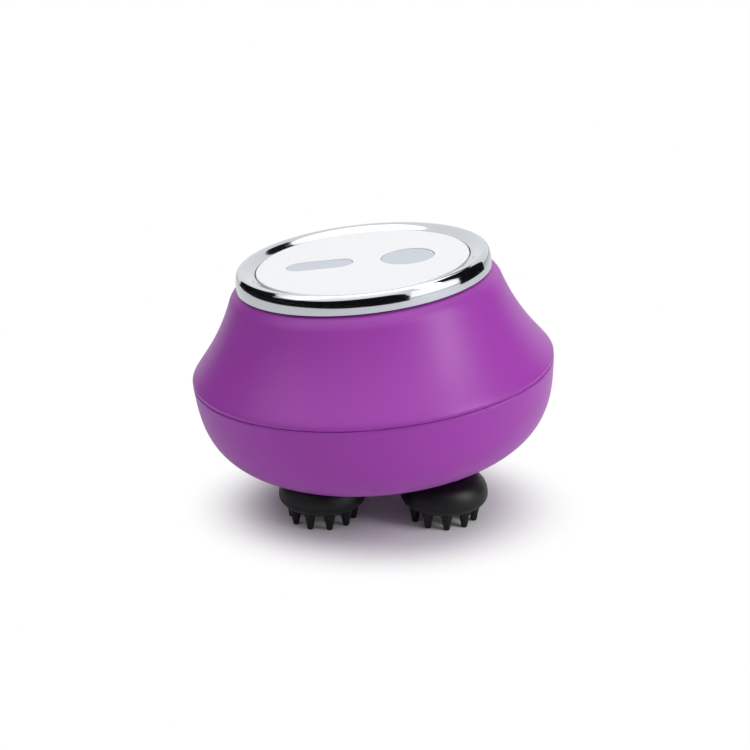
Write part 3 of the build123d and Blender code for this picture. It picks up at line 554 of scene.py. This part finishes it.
def table_card(name, edges, material):
    """A card lying on the table; each edge gives azimuth and the distance where it begins."""
    rows = []
    for azimuth, near in edges:
        rows.append(tuple(
            around_object(azimuth, 0, reach, TABLE_CARD_LEVEL) for reach in (near, CARD_DISTANCE)))
    card(name, rows, material)


wall_card("front_dark", [
    (-148, 18, 38), (-138, -3, 42), (-127, -3, 43), (-112, -3, 39), (-97, -3, 31), (-82, -3, 25),
    (-67, -3, 20), (-52, -3, 16), (-37, -3, 17), (-22, -3, 21), (-7, -3, 25), (7, -3, 28),
    (22, -3, 27), (31, -3, 18), (39, -3, 6),
], black_cloth)
wall_card("right_dark", [
    (60, 34, 44), (67, 32, 49), (75, 27, 52), (82, 22, 54), (90, 10, 56), (92, -3, 56),
    (97, -3, 57), (112, -3, 60), (127, -3, 61), (131, -3, 60),
], black_cloth)
wall_card("rear_dark", [(131, 38, 60), (142, 38, 60), (157, 37, 56), (172, 38, 48)], black_cloth)
table_card("table_dark_left", [
    (-138, 0.33), (-115, 0.36), (-90, 0.36), (-60, 0.37), (-40, 0.35), (-22, 0.31),
    (0, 0.335), (15, 0.335), (30, 0.36), (39, 0.40),
], black_cloth)
table_card("table_dark_right", [(91, 0.43), (110, 0.43), (131, 0.43)], black_cloth)
# A glowing card at the right: painted highlight in the chrome and the shell, which lights nothing.
wall_card("right_lit", [(40, 0, 20), (52, 0, 24), (67, 0, 24), (78, 0, 15), (89, 0, 7)], lit_cloth)

# A glowing card overhead: painted highlight in the chrome and the shell, which lights nothing.
CEILING_LEVEL = 1.25
CEILING_SPAN = (-1.5, 0.7)    # along X and along Y
card("ceiling_lit", [
    tuple((x, y, CEILING_LEVEL) for y in CEILING_SPAN) for x in CEILING_SPAN
], ceiling_cloth)


# ---- lamps and world ---------------------------------------------------------------------
AIM_HEIGHT = 0.035        # middle of the object, where the lamps point
FILL_STRENGTH = 0.45      # light on the object from all round
BACKDROP_STRENGTH = 1.0   # plain white, to the camera and in reflections


def softbox(name, azimuth, elevation, distance, width, height, watts):
    """A soft lamp aimed at the middle of the object."""
    lamp = bpy.data.lights.new(name, "AREA")
    lamp.shape = "RECTANGLE"
    lamp.size = width
    lamp.size_y = height
    lamp.energy = watts
    holder = bpy.data.objects.new(name, lamp)
    bpy.context.scene.collection.objects.link(holder)
    holder.location = around_object(azimuth, elevation, distance, AIM_HEIGHT)
    aim = Vector((0, 0, AIM_HEIGHT)) - holder.location
    holder.rotation_euler = aim.to_track_quat("-Z", "Y").to_euler()


softbox("overhead_box", 180, 78, distance=1.1, width=1.3, height=1.0, watts=5.1)
softbox("right_box", 62, 30, distance=1.0, width=0.3, height=0.7, watts=4.7)
softbox("left_box", -75, 35, distance=1.0, width=0.5, height=0.7, watts=0.8)


def white_background(tree, strength):
    """A white world background of one strength."""
    background = add_node(tree, "ShaderNodeBackground")
    background.inputs["Color"].default_value = (1.0, 1.0, 1.0, 1.0)
    background.inputs["Strength"].default_value = strength
    return background


def studio_world():
    """Soft fill on the object, and plain white to the camera, in reflections and in glass."""
    world = bpy.data.worlds.new("studio")
    bpy.context.scene.world = world
    world.use_nodes = True
    tree = world.node_tree
    tree.nodes.clear()
    link = tree.links.new
    fill = white_background(tree, FILL_STRENGTH)
    backdrop = white_background(tree, BACKDROP_STRENGTH)
    rays = add_node(tree, "ShaderNodeLightPath")
    seen = add_node(tree, "ShaderNodeMath", operation="MAXIMUM")
    link(rays.outputs["Is Camera Ray"], seen.inputs[0])
    link(rays.outputs["Is Glossy Ray"], seen.inputs[1])
    shown = add_node(tree, "ShaderNodeMath", operation="MAXIMUM")
    link(seen.outputs[0], shown.inputs[0])
    link(rays.outputs["Is Transmission Ray"], shown.inputs[1])
    mixed = add_node(tree, "ShaderNodeMixShader")
    link(shown.outputs[0], mixed.inputs[0])
    link(fill.outputs[0], mixed.inputs[1])
    link(backdrop.outputs[0], mixed.inputs[2])
    out = add_node(tree, "ShaderNodeOutputWorld")
    link(mixed.outputs[0], out.inputs["Surface"])


studio_world()


# ---- camera ------------------------------------------------------------------------------
CAMERA_PLACE = (0.00061, -0.47015, 0.21122)
CAMERA_TILT = math.radians(69.7)    # from straight down
FOCAL_LENGTH = 82.37                # mm, on a sensor this wide:
SENSOR_WIDTH = 36.0
NEAREST, FARTHEST = 0.01, 20.0

lens = bpy.data.cameras.new("camera")
lens.sensor_width = SENSOR_WIDTH
lens.lens = FOCAL_LENGTH
lens.clip_start = NEAREST
lens.clip_end = FARTHEST
camera = bpy.data.objects.new("camera", lens)
bpy.context.scene.collection.objects.link(camera)
camera.location = CAMERA_PLACE
camera.rotation_euler = (CAMERA_TILT, 0.0, 0.0)
bpy.context.scene.camera = camera
bpy.context.scene.view_settings.view_transform = "Standard"
